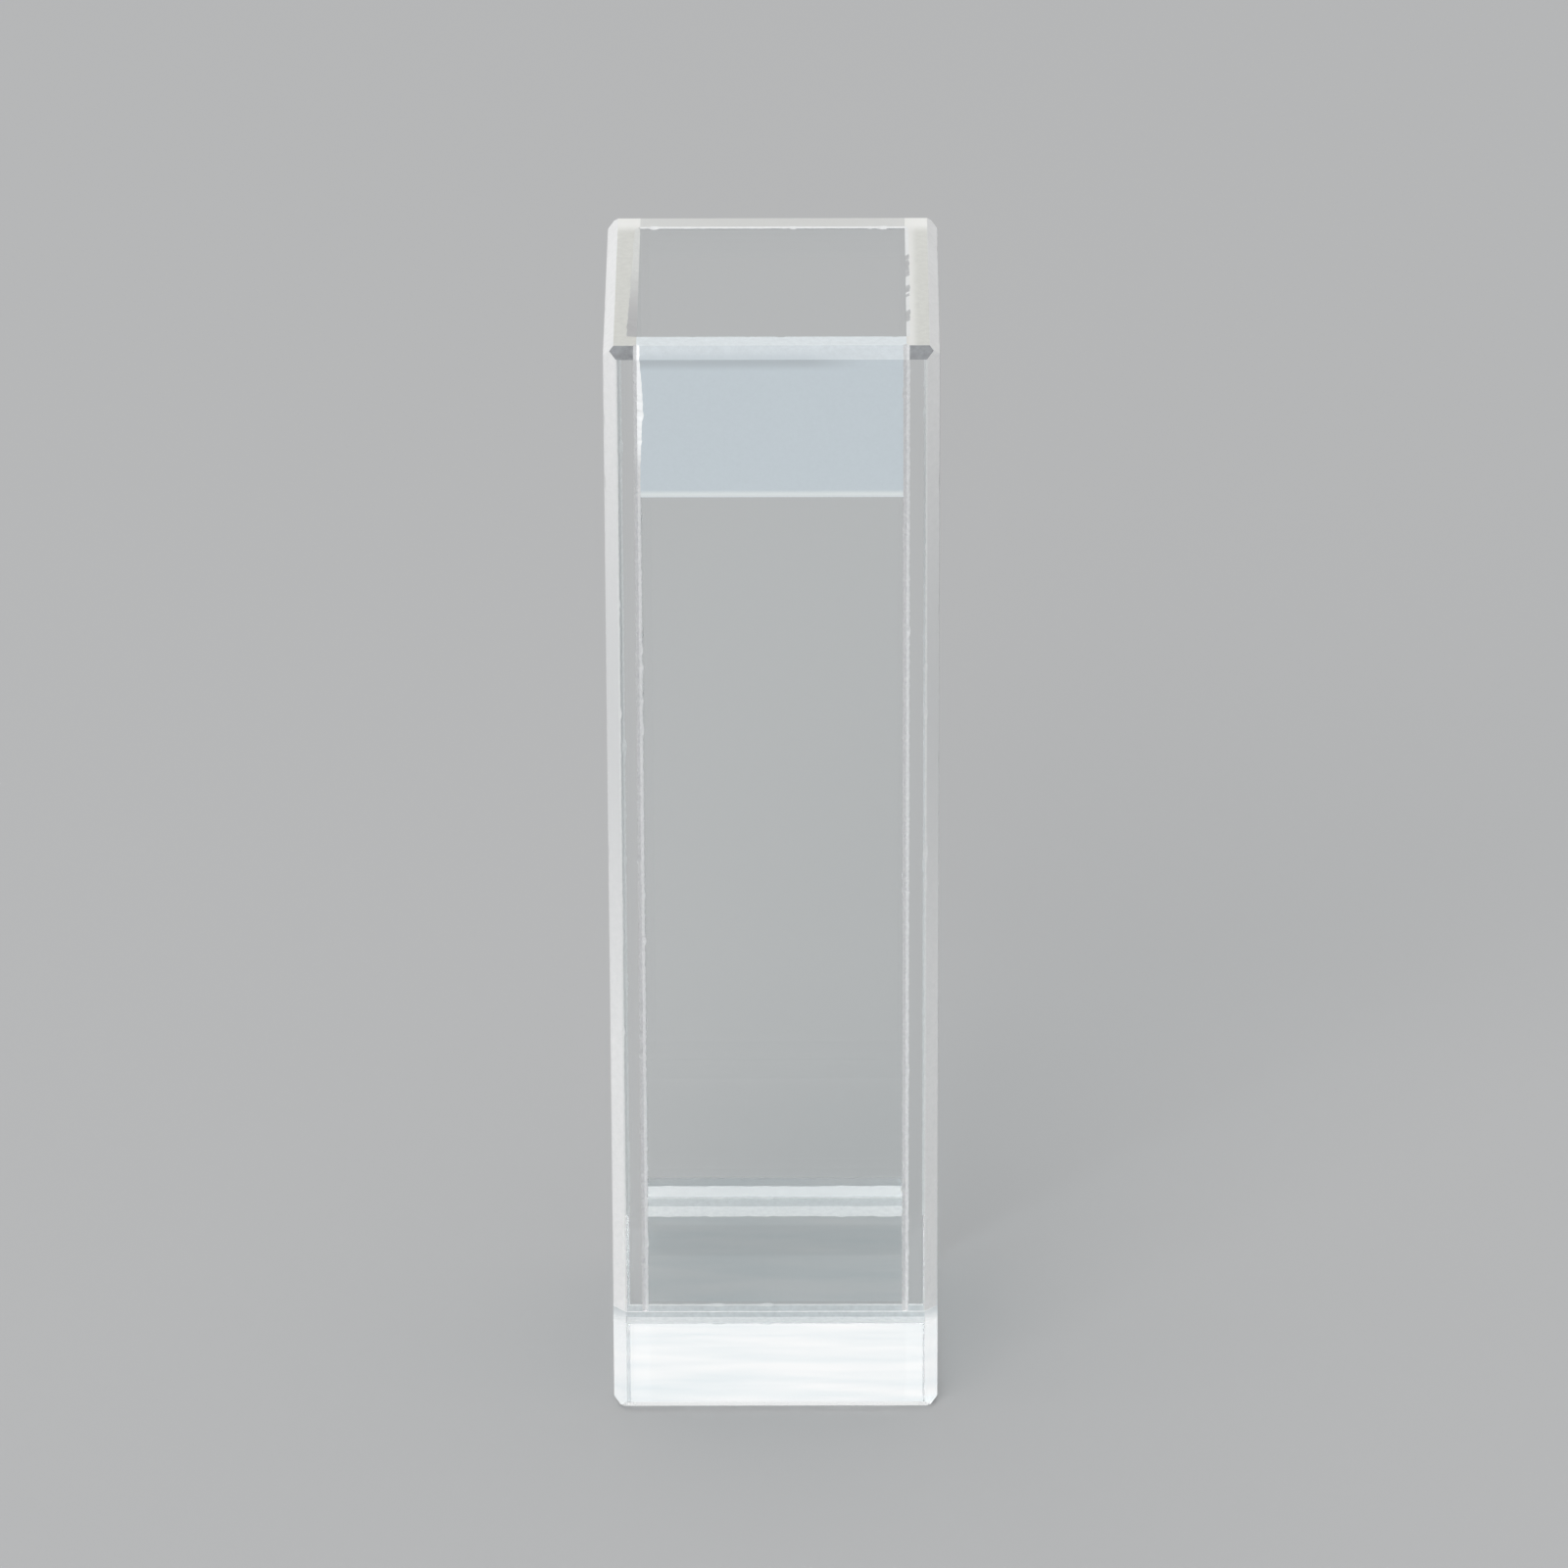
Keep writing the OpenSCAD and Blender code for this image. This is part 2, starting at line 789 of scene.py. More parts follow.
    def finish(self, shader: Socket) -> bpy.types.Material | bpy.types.World:
        """Sends a shader to the output.

        Args:
            shader: the shader.

        Returns:
            The material or the world.
        """
        kind = "World" if isinstance(self.owner, bpy.types.World) else "Material"
        output = self.add(f"ShaderNodeOutput{kind}")
        self.join(shader, output.inputs["Surface"])
        return self.owner


@dataclass(frozen=True)
class PolishedGlass:
    """A clear polished face: glass to the eye, and a light filter to the lamps.

    Attributes:
        name: the material's name.
        ior: index of refraction.
        tint: colour of the glass.
        shade: what a lamp's light keeps when it crosses the face.
    """

    name: str = "polished_glass"
    ior: float = 1.50
    tint: Colour = (0.995, 1.0, 1.0)
    shade: Colour = (0.90, 0.92, 0.925)

    def make(self) -> bpy.types.Material:
        """Builds the material.

        Returns:
            The material.
        """
        tree = ShaderTree.named(self.name)
        glass = tree.add("ShaderNodeBsdfGlass", Color=opaque(self.tint), Roughness=0.0, IOR=self.ior)
        self.mark(tree, glass)
        clear = tree.add("ShaderNodeBsdfTransparent", Color=opaque(self.shade))
        lamp_rays = tree.rays("Is Shadow Ray", "Is Diffuse Ray")
        return tree.finish(tree.mix(lamp_rays, glass.outputs[0], clear.outputs[0]))

    def mark(self, tree: ShaderTree, glass: bpy.types.Node) -> None:
        """Marks the glass: not at all here."""


@dataclass(frozen=True)
class StreakedUnderside(PolishedGlass):
    """The polished underside, with the faint level streaks that its polishing left.

    Attributes:
        name: the material's name.
        ior: index of refraction, below the glass's own because a rubbed face mirrors less.
        tint: colour between the streaks.
        streak: colour in the deepest streak.
        length: length of a streak, in metres.
        breadth: breadth of a streak, in metres.
        streaked: the noise's value up to which a streak is at its deepest.
        unmarked: the noise's value from which there is no streak.
    """

    name: str = "polished_underside"
    ior: float = 1.36
    tint: Colour = WHITE
    streak: Colour = (0.86, 0.91, 0.93)
    length: float = 8.0 * MM
    breadth: float = 1.6 * MM
    streaked: float = 0.30
    unmarked: float = 0.62

    def mark(self, tree: ShaderTree, glass: bpy.types.Node) -> None:
        """Colours the glass by noise that is drawn out along X.

        Args:
            tree: the material's tree.
            glass: its glass.
        """
        drawn = tree.add("ShaderNodeMapping", Scale=(1.0 / self.length, 1.0 / self.breadth, 1.0))
        tree.join(tree.place(), drawn.inputs["Vector"])
        noise = tree.add("ShaderNodeTexNoise", Scale=1.0, Detail=3.0, Roughness=0.5)
        tree.join(drawn.outputs[0], noise.inputs["Vector"])
        tone = tree.ramp(noise.outputs["Fac"], (self.streaked, self.streak), (self.unmarked, self.tint))
        tree.join(tone, glass.inputs["Color"])


@dataclass(frozen=True)
class FusedBond:
    """The plane where two plates are fused: the glass is continuous there, so light goes straight on.

    Attributes:
        name: the material's name.
        haze: share of light that the joint scatters.
        colour: colour of the scattered light.
    """

    name: str = "fused_bond"
    haze: float = 0.02
    colour: Colour = (0.8, 0.82, 0.84)

    def make(self) -> bpy.types.Material:
        """Builds the material.

        Returns:
            The material.
        """
        tree = ShaderTree.named(self.name)
        clear = tree.add("ShaderNodeBsdfTransparent", Color=opaque(WHITE))
        haze = tree.add("ShaderNodeBsdfDiffuse", Color=opaque(self.colour))
        return tree.finish(tree.mix(self.haze, clear.outputs[0], haze.outputs[0]))


@dataclass(frozen=True)
class GroundGlass:
    """A face ground matt with abrasive, pale and partly see-through.

    Attributes:
        name: the material's name.
        colour: colour of the scattered light.
        through: share of light that goes on into the glass or out of it.
        roughness: how far it spreads what it mirrors and lets through.
        grain: size of the grinding grain, in metres.
        mottle: how far the colour strays from patch to patch.
        relief: height of the grain, in metres.
        ior: index of refraction.
        patches: how many patches of colour stand in one grain's breadth.
        darkest: the noise's value up to which a patch is at its darkest.
        palest: the noise's value from which a patch is at its palest.
    """

    name: str
    colour: Colour
    through: float = 0.25
    roughness: float = 0.55
    grain: float = 0.05 * MM
    mottle: float = 0.07
    relief: float = 0.004 * MM
    ior: float = 1.50
    patches: float = 0.2
    darkest: float = 0.3
    palest: float = 0.7

    def make(self) -> bpy.types.Material:
        """Builds the material.

        Returns:
            The material.
        """
        tree = ShaderTree.named(self.name)
        place = tree.place()
        body = tree.add(
            "ShaderNodeBsdfPrincipled",
            Roughness=self.roughness,
            IOR=self.ior,
            Transmission_Weight=self.through,
        )
        tone = self.tone(tree, place)
        for share, colour in self.washes(tree, place):
            tone = tree.blend(share, tone, colour)
        tree.join(tone, body.inputs["Base Color"])
        grains = tree.add("ShaderNodeTexNoise", Scale=1.0 / self.grain, Detail=2.0, Roughness=0.6)
        tree.join(place, grains.inputs["Vector"])
        bump = tree.add("ShaderNodeBump", Strength=0.6, Distance=self.relief)
        tree.join(grains.outputs["Fac"], bump.inputs["Height"])
        tree.join(bump.outputs[0], body.inputs["Normal"])
        self.fill(tree, place, body)
        return tree.finish(body.outputs[0])

    def tone(self, tree: ShaderTree, place: Socket) -> Socket:
        """Mottles the colour in patches a few grains wide.

        Args:
            tree: the material's tree.
            place: the Object coordinates.

        Returns:
            The colour.
        """
        noise = tree.add("ShaderNodeTexNoise", Scale=self.patches / self.grain, Detail=5.0, Roughness=0.75)
        tree.join(place, noise.inputs["Vector"])
        dark = tuple(c * (1 - self.mottle) for c in self.colour)
        pale = tuple(min(1.0, c * (1 + self.mottle)) for c in self.colour)
        return tree.ramp(noise.outputs["Fac"], (self.darkest, dark), (self.palest, pale))

    def washes(self, tree: ShaderTree, place: Socket) -> list[Wash]:
        """The marks that lie over the tone, each as its share and its colour: none here."""
        return []

    def fill(self, tree: ShaderTree, place: Socket, body: bpy.types.Node) -> None:
        """Changes how much light goes through from place to place: not at all here."""


@dataclass(frozen=True, kw_only=True)
class FrostedBand(GroundGlass):
    """The frosted band, fine and even, with painted shade along its upper edge and a painted highlight
    along its lower edge.

    Attributes:
        top: height of its upper edge.
        foot: height of its lower edge.
        worn: colour of the painted shade, a soft darker stripe just under the rim.
        shade_stripe_at: how far below the upper edge the stripe's middle is.
        shade_stripe_half: half the height of that stripe.
        shade_stripe_end: where the stripe starts to fade towards the right.
        shade_stripe_fade: how far it takes to fade away.
        edge: colour of the painted highlight, a paler line along the lower edge.
        highlight_at: how far above the lower edge the line's middle is.
        highlight_half: half the height of that line.
    """

    top: float
    foot: float
    # Painted shade: a soft darker stripe just under the rim, where the rim bevel shades the band.
    worn: Colour = (0.55, 0.61, 0.65)
    shade_stripe_at: float = 0.084 * MM
    shade_stripe_half: float = 0.42 * MM
    shade_stripe_end: float = 1.0 * MM
    shade_stripe_fade: float = 2.8 * MM
    # Painted highlight: a paler line along the band's foot, where light catches its edge.
    edge: Colour = (0.94, 1.0, 1.0)
    highlight_at: float = 0.11 * MM
    highlight_half: float = 0.22 * MM

    def washes(self, tree: ShaderTree, place: Socket) -> list[Wash]:
        """Lays the painted shade stripe under the rim and the painted highlight line at the foot.

        Args:
            tree: the material's tree.
            place: the Object coordinates.

        Returns:
            The stripe and the line.
        """
        height = tree.along(place, "Z")
        # The stripe is painted shade, and the line is a painted highlight.
        stripe = tree.stripe(height, self.top - self.shade_stripe_at, self.shade_stripe_half)
        reach = tree.fade(tree.along(place, "X"), self.shade_stripe_end, self.shade_stripe_end + self.shade_stripe_fade)
        line = tree.stripe(height, self.foot + self.highlight_at, self.highlight_half)
        return [(tree.combine("MULTIPLY", stripe, reach), self.worn), (line, self.edge)]


@dataclass(frozen=True)
class GroundBevel(GroundGlass):
    """The bevels of the upright plates, with painted shade that darkens them halfway up the cell.

    Attributes:
        mid_shade: colour of the painted shade, at its darkest.
        mid_shade_at: height of its middle.
        mid_shade_half: half its length.
    """

    # Painted shade: the bevels are darker halfway up, away from the light at the rim and the base.
    mid_shade: Colour = (0.79, 0.80, 0.805)
    mid_shade_at: float = 30.0 * MM
    mid_shade_half: float = 16.0 * MM

    def washes(self, tree: ShaderTree, place: Socket) -> list[Wash]:
        """Lays the painted shade."""
        return [(tree.stripe(tree.along(place, "Z"), self.mid_shade_at, self.mid_shade_half), self.mid_shade)]


@dataclass(frozen=True, kw_only=True)
class GroundRim(GroundGlass):
    """The rim of the side walls, with a painted highlight along the right side of the mouth and at its back
    ends.

    Attributes:
        mouth: where the right side of the mouth is.
        pale: colour of the painted highlight along the mouth.
        lit_strip_at: how far outside the mouth the highlight strip's middle is.
        lit_strip_half: half the strip's breadth.
        back_highlight: colour of the painted highlight at the back ends.
        back_highlight_from: how far back the highlight starts.
        back_highlight_full: how far back it is whole.
    """

    mouth: float
    # Painted highlights: a paler strip along the right side of the mouth, and the back ends below.
    pale: Colour = (0.88, 0.88, 0.85)
    lit_strip_at: float = 0.16 * MM
    lit_strip_half: float = 0.32 * MM
    back_highlight: Colour = (0.97, 0.97, 0.94)
    back_highlight_from: float = 4.4 * MM
    back_highlight_full: float = 5.3 * MM

    def washes(self, tree: ShaderTree, place: Socket) -> list[Wash]:
        """Lays the painted highlights: the strip along the mouth and the back ends.

        Args:
            tree: the material's tree.
            place: the Object coordinates.

        Returns:
            The strip and the ends.
        """
        strip = tree.stripe(tree.along(place, "X"), self.mouth + self.lit_strip_at, self.lit_strip_half)
        ends = tree.fade(tree.along(place, "Y"), self.back_highlight_full, self.back_highlight_from)
        return [(strip, self.pale), (ends, self.back_highlight)]


@dataclass(frozen=True, kw_only=True)
class TwoToneGlass(GroundGlass):
    """A ground finish that turns to a second tone from the front to the back, or the other way.

    Attributes:
        second: the second tone.
        second_full: the place from front to back where there is only the second tone.
        second_none: the place from front to back where there is only the first.
    """

    second: Colour
    second_full: float
    second_none: float

    def washes(self, tree: ShaderTree, place: Socket) -> list[Wash]:
        """Lays the second tone."""
        return [(tree.fade(tree.along(place, "Y"), self.second_full, self.second_none), self.second)]


@dataclass(frozen=True, kw_only=True)
class SeamGlass(GroundGlass):
    """The strip along the upright seams, half clear, with a painted highlight beside the frosted band: a
    white stretch.

    Attributes:
        seam: where the left seam stands.
        inside: how far inside the seam the stretch starts.
        between: half the distance, about the cell's middle, over which the stretch fades away.
        white: colour of the painted highlight, a white stretch.
        seam_highlight_from: height below which the highlight has gone.
        seam_highlight_full: height above which it is whole.
        clear: share of light that goes on outside the painted highlight.
    """

    seam: float
    inside: float = 0.01 * MM
    between: float = 1.0 * MM
    # Painted highlight: the left seam's white stretch beside the band, where the seam catches the band's
    # light.
    white: Colour = (0.97, 0.99, 1.0)
    seam_highlight_from: float = 39.6 * MM
    seam_highlight_full: float = 41.4 * MM
    clear: float = 0.4

    def stretch(self, tree: ShaderTree, place: Socket) -> Socket:
        """Finds where the painted highlight lies: the upper part of the left seam, at the front.

        Args:
            tree: the material's tree.
            place: the Object coordinates.

        Returns:
            A socket that is 1 in the painted highlight.
        """
        across = tree.along(place, "X")
        high = tree.fade(tree.along(place, "Z"), self.seam_highlight_full, self.seam_highlight_from)
        left = tree.fade(across, self.seam + 2 * self.inside, self.seam + self.inside)
        near = tree.fade(across, -self.between, self.between)
        front = tree.fade(tree.along(place, "Y"), -self.between, self.between)
        upper = tree.combine("MULTIPLY", high, left)
        return tree.combine("MULTIPLY", upper, tree.combine("MULTIPLY", near, front))

    def washes(self, tree: ShaderTree, place: Socket) -> list[Wash]:
        """Lays the painted highlight."""
        return [(self.stretch(tree, place), self.white)]

    def fill(self, tree: ShaderTree, place: Socket, body: bpy.types.Node) -> None:
        """Lets no light through in the painted highlight."""
        through = tree.fade(self.stretch(tree, place), 0.0, 1.0, self.clear)
        tree.join(through, body.inputs["Transmission Weight"])


def finishes(sizes: CellSizes) -> dict[Surface, bpy.types.Material]:
    """Makes one material for each grade of surface.

    Args:
        sizes: the cell's sizes, for the marks that follow its edges.

    Returns:
        The materials.
    """
    fine = 0.02 * MM
    band = {"top": sizes.high.z - sizes.rim_bevel, "foot": sizes.band_foot}
    coarse = {"through": 0.15, "mottle": 0.12}
    chosen: dict[Surface, PolishedGlass | FusedBond | GroundGlass] = {
        Surface.POLISHED: PolishedGlass(),
        Surface.UNDERSIDE: StreakedUnderside(),
        Surface.MARGIN: GroundGlass("ground_margin", (0.88, 0.90, 0.92), **coarse),
        Surface.RIM: GroundRim("ground_rim", (0.72, 0.722, 0.68), mouth=sizes.cavity_high.x),
        Surface.WINDOW_RIM: TwoToneGlass(
            "ground_window_rim",
            (0.84, 0.895, 0.92),
            second=(0.755, 0.76, 0.745),
            second_full=1.0 * MM,
            second_none=-1.0 * MM,
        ),
        Surface.WINDOW_BEVEL: FrostedBand("ground_window_bevel", (0.66, 0.715, 0.75), **band),
        Surface.FACET: GroundGlass(
            "ground_facet",
            (0.25, 0.26, 0.275),
            through=0.35,
            roughness=0.35,
            grain=0.09 * MM,
            mottle=0.35,
        ),
        Surface.BEVEL: GroundBevel("ground_bevel_painted_shade", (0.96, 0.97, 0.97), through=0.15, roughness=0.4),
        Surface.FOOT_BEVEL: GroundGlass(
            "ground_foot", (0.99, 0.99, 0.995), through=0.95, roughness=0.15, mottle=0.01
        ),
        Surface.BACK_FOOT: GroundGlass("ground_back_foot", (0.57, 0.60, 0.615), **coarse),
        Surface.FROSTED: FrostedBand(
            "frosted_band", (0.69, 0.773, 0.827), through=0.3, grain=0.03 * MM, mottle=0.02, **band
        ),
        Surface.BOND: FusedBond(),
        Surface.CHIPPED: GroundGlass("chipped_arris", (0.86, 0.87, 0.87), grain=fine),
        # The left strip's darker second tone towards the front is painted shade, where it faces away from
        # the lamps.
        Surface.WORN: TwoToneGlass(
            "worn_arris",
            (0.76, 0.77, 0.75),
            through=0.15,
            grain=fine,
            second=(0.47, 0.47, 0.475),
            second_full=-4.0 * MM,
            second_none=2.5 * MM,
        ),
        Surface.SEAM: SeamGlass(
            "seam_arris", (0.88, 0.89, 0.91), grain=fine, mottle=0.15, seam=sizes.cavity_low.x
        ),
        Surface.NOTCH: GroundGlass("smooth_notch", (0.56, 0.565, 0.57), through=0.35, roughness=0.35),
    }
    return {grade: finish.make() for grade, finish in chosen.items()}


# ---------------------------------------------------------------------------------------------
# The plates
# ---------------------------------------------------------------------------------------------


@dataclass(kw_only=True)
class GlassPlate:
    """A plate of the cell: cut from the ground block, graded, worn along its edges and dressed.

    Attributes:
        node: the CAD node that the plate stands for.
        slot: a material slot's name; not used.
        seed: the seed of its chips.
        sizes: the cell's sizes.
    """

    node: str
    slot: str
    seed: int
    sizes: CellSizes

    def __post_init__(self) -> None:
        """Takes the dice for its chips."""
        self.dice = random.Random(self.seed)

    def cuts(self) -> list[Plane]:
        """The planes that free this plate from the block, each as a point and an outward normal."""
        raise NotImplementedError

    def scores(self) -> list[Plane]:
        """The planes that mark where one of its faces changes grade."""
        return []

    def grade(self, face: Face) -> Surface:
        """Grades a face by what lies just outside it.

        Args:
            face: the face.

        Returns:
            Its grade.
        """
        if max(abs(c) for c in face.normal) < ALIGNED:
            return self.bevel_grade(face.normal)
        outside = face.calc_center_median() + face.normal * PEEK
        if self.sizes.in_cavity(outside):
            return Surface.POLISHED
        if self.sizes.in_block(outside):
            return Surface.BOND
        return self.rim_grade() if outside.z > self.sizes.high.z else self.outer_grade(outside)

    def bevel_grade(self, normal: Vector) -> Surface:
        """The grade of a bevel that faces this way."""
        return Surface.BEVEL

    def rim_grade(self) -> Surface:
        """The grade of the plate's top."""
        return Surface.RIM

    def outer_grade(self, outside: Vector) -> Surface:
        """The grade of a face on the outer sides or the underside."""
        return Surface.POLISHED

    def sharp_edges(self, mesh: Mesh) -> dict[Arris, list[Edge]]:
        """Sorts the plate's edges by how they are worn.

        Args:
            mesh: the graded plate.

        Returns:
            The edges of each arris.
        """
        worn: dict[Arris, list[Edge]] = {arris: [] for arris in ARRISES}
        for edge in mesh.edges:
            faces = edge.link_faces
            if len(faces) == 2 and faces[0].normal.dot(faces[1].normal) < ALIGNED:
                arris = arris_for({Surface(f.material_index) for f in faces}, edge, self.sizes)
                if arris is not None:
                    worn[arris].append(edge)
        return worn

    def model(self) -> Mesh:
        """Cuts, grades and wears the plate.

        Returns:
            The finished mesh.
        """
        mesh = ground_block(self.sizes)
        for point, outward in self.cuts():
            grind_off(mesh, point, outward)
        for point, normal in self.scores():
            score(mesh, point, normal)
        for face in mesh.faces:
            face.material_index = self.grade(face)
        for arris, edges in self.sharp_edges(mesh).items():
            left = [edge for edge in edges if edge.is_valid]
            if left:
                wear_edges(mesh, left, arris, self.dice)
        self.rework(mesh)
        bmesh.ops.remove_doubles(mesh, verts=mesh.verts[:], dist=MERGE)
        bmesh.ops.recalc_face_normals(mesh, faces=mesh.faces[:])
        settle_order(mesh)
        return mesh

    def rework(self, mesh: Mesh) -> None:
        """Changes what is this plate's own, once its edges are worn."""

    def make(self, materials: dict[Surface, bpy.types.Material]) -> bpy.types.Object:
        """Builds the piece, dresses it and puts it in its node's place.

        Args:
            materials: one material for each grade.

        Returns:
            The plate.
        """
        mesh = self.model()
        grades = sorted({f.material_index for f in mesh.faces})
        for face in mesh.faces:
            face.material_index = grades.index(face.material_index)
        data = bpy.data.meshes.new(f"{self.node}_glass")
        mesh.to_mesh(data)
        mesh.free()
        for grade in grades:
            data.materials.append(materials[Surface(grade)])
        piece = bpy.data.objects.new(f"{self.node}_glass", data)
        bpy.context.scene.collection.objects.link(piece)
        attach(piece, "root")
        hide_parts(self.node)
        log.info("%s: %d faces, stands for %s", piece.name, len(data.polygons), self.node)
        return piece


@dataclass(kw_only=True)
class WindowPlate(GlassPlate):
    """A window of the cell, between the side walls. The front one has the frosted band.

    Attributes:
        side: the side of the cell that the window closes.
        slot: a material slot's name; not used.
        broad: width of the front window's left arris beside the band.
        broad_from: how far below the rim the arris is narrow again.
        broad_full: how far below the rim it is still at its broadest.
        taper: how far below the band's top it reaches its full breadth.
    """

    side: Side
    slot: str = "window_glass"
    broad: float = 0.21 * MM
    broad_from: float = 4.8 * MM
    broad_full: float = 2.4 * MM
    taper: float = 1.4 * MM

    def cuts(self) -> list[Plane]:
        """Cuts at both side walls, at the cavity and at the base.

        Returns:
            The four planes.
        """
        low, high = self.sizes.cavity_low, self.sizes.cavity_high
        inner = self.sizes.cavity_corner(self.side)
        return [(low, -RIGHT), (high, RIGHT), (inner, -self.side.value * BACK), (low, -UP)]

    def scores(self) -> list[Plane]:
        """Marks the foot of the frosted band on the front window."""
        return [(self.sizes.band_foot * UP, UP)] if self.side is Side.LOW else []

    def bevel_grade(self, normal: Vector) -> Surface:
        """The front window's bevel is greyer than its rim."""
        return Surface.WINDOW_BEVEL if self.side is Side.LOW else Surface.BEVEL

    def rim_grade(self) -> Surface:
        """Both windows' rims have one finish."""
        return Surface.WINDOW_RIM

    def outer_grade(self, outside: Vector) -> Surface:
        """Frosted in the band at the top of the front window, else polished."""
        in_front = outside.y < self.sizes.low.y
        return Surface.FROSTED if in_front and outside.z > self.sizes.band_foot else Surface.POLISHED

    def rework(self, mesh: Mesh) -> None:
        """Broadens the front window's left arris beside the frosted band.

        Args:
            mesh: the plate.
        """
        if self.side is Side.HIGH:
            return
        sizes = self.sizes
        narrow, full = sizes.high.z - self.broad_from, sizes.high.z - self.broad_full
        band_top = sizes.high.z - sizes.rim_bevel
        for vertex in mesh.verts:
            place = vertex.co
            on_front = place.y < sizes.low.y + sizes.rim_bevel + FLAT
            inside = FLAT < place.x - sizes.cavity_low.x < self.broad
            if on_front and inside and any(f.material_index == Surface.SEAM for f in vertex.link_faces):
                below = max(0.0, (place.z - narrow) / (full - narrow))
                above = max(0.0, (band_top - place.z) / self.taper)
                place.x += (self.broad - SEAM_ARRIS.width) * min(1.0, below, above)


@dataclass(kw_only=True)
class SideWall(GlassPlate):
    """A side wall of the cell, which runs its full depth.

    Attributes:
        side: the side of the cell that the wall closes.
        slot: a material slot's name; not used.
        wear: the furthest that the worn strip along the rim is broadened.
        back_share: share of it that is left at the back of the mouth.
        right_share: share of it that the right wall's strip has all along.
    """

    side: Side
    slot: str = "side_glass"
    wear: float = 0.30 * MM
    back_share: float = 0.4
    right_share: float = 0.2

    def cuts(self) -> list[Plane]:
        """Cuts at the cavity and at the base."""
        inner = self.sizes.cavity_corner(self.side)
        return [(inner, -self.side.value * RIGHT), (self.sizes.cavity_low, -UP)]

    def scores(self) -> list[Plane]:
        """Marks where the windows are fused to the wall's inner face."""
        return [(self.sizes.cavity_low, BACK), (self.sizes.cavity_high, BACK)]

    def bevel_grade(self, normal: Vector) -> Surface:
        """The rim's front facet is ground finer, and greyer, than the other bevels."""
        return Surface.FACET if normal.y < -TOWARDS and normal.z > TOWARDS else Surface.BEVEL

    def rework(self, mesh: Mesh) -> None:
        """Broadens the strip along the rim, the left wall's ever more towards the front.

        Args:
            mesh: the plate.
        """
        low, high = self.sizes.cavity_low, self.sizes.cavity_high
        inner = self.sizes.cavity_corner(self.side).x
        grade = Surface.WORN if self.side is Side.LOW else Surface.CHIPPED
        for vertex in mesh.verts:
            place = vertex.co
            on_top = abs(place.z - self.sizes.high.z) < FLAT
            beside = low.y < place.y < high.y and abs(place.x - inner) < self.wear
            if on_top and beside and any(f.material_index == grade for f in vertex.link_faces):
                place.x += self.side.value * self.wear_at(place.y)

    def wear_at(self, depth: float) -> float:
        """Finds how far the strip reaches outward.

        Args:
            depth: the place, from the front to the back.

        Returns:
            The strip's reach there.
        """
        if self.side is Side.HIGH:
            return self.right_share * self.wear
        front, back = self.sizes.cavity_low.y, self.sizes.cavity_high.y
        share = min(1.0, max(0.0, (back - depth) / (back - front)))
        return self.wear * (self.back_share + (1 - self.back_share) * share)


@dataclass(kw_only=True)
class BasePlate(GlassPlate):
    """The thick plate that the four upright plates stand on.

    Attributes:
        slot: a material slot's name; not used.
        sway: the furthest that the ground margin's front edge strays.
        sway_pitch: distance between that edge's points.
    """

    slot: str = "base_glass"
    sway: float = 0.09 * MM
    sway_pitch: float = 0.25 * MM

    def cuts(self) -> list[Plane]:
        """Cuts at the top of the base."""
        return [(self.sizes.cavity_low, UP)]

    def scores(self) -> list[Plane]:
        """Marks the cavity's floor, and with it the ground margin along the underside's back edge."""
        low, high = self.sizes.cavity_low, self.sizes.cavity_high
        return [(corner, normal) for corner in (low, high) for normal in (RIGHT, BACK)]

    def bevel_grade(self, normal: Vector) -> Surface:
        """The bevels round the base glow, apart from the one along the underside's back edge."""
        return Surface.BACK_FOOT if normal.y > TOWARDS and normal.z < -TOWARDS else Surface.FOOT_BEVEL

    def outer_grade(self, outside: Vector) -> Surface:
        """Grades the underside, which is streaked, with a ground margin under the back window.

        Args:
            outside: a point just outside the face.

        Returns:
            The face's grade.
        """
        if outside.z > self.sizes.low.z:
            return Surface.POLISHED
        return Surface.MARGIN if outside.y > self.sizes.cavity_high.y else Surface.UNDERSIDE

    def rework(self, mesh: Mesh) -> None:
        """Makes the ground margin's front edge uneven.

        Args:
            mesh: the plate.
        """
        lines = []
        for edge in mesh.edges:
            level = abs(edge.verts[0].co.y - edge.verts[1].co.y) < FLAT
            if level and {f.material_index for f in edge.link_faces} == {Surface.MARGIN, Surface.UNDERSIDE}:
                lines.append(edge)
        for line in lines:
            roughen_line(mesh, line, self.sway * BACK, self.sway_pitch, self.dice)


@dataclass
class Cuvette:
    """The whole cell.

    Attributes:
        sizes: its sizes.
    """

    sizes: CellSizes

    def plates(self) -> list[GlassPlate]:
        """Lists the plates, each with the seed of its chips.

        Returns:
            The five plates.
        """
        sizes = self.sizes
        return [
            WindowPlate(node="front_window", side=Side.LOW, seed=11, sizes=sizes),
            WindowPlate(node="back_window", side=Side.HIGH, seed=23, sizes=sizes),
            SideWall(node="left_wall", side=Side.LOW, seed=37, sizes=sizes),
            SideWall(node="right_wall", side=Side.HIGH, seed=41, sizes=sizes),
            BasePlate(node="base_plate", seed=59, sizes=sizes),
        ]

    def make(self) -> list[bpy.types.Object]:
        """Builds every plate with one shared set of finishes."""
        materials = finishes(self.sizes)
        return [plate.make(materials) for plate in self.plates()]


# ---------------------------------------------------------------------------------------------
# Studio
# ---------------------------------------------------------------------------------------------


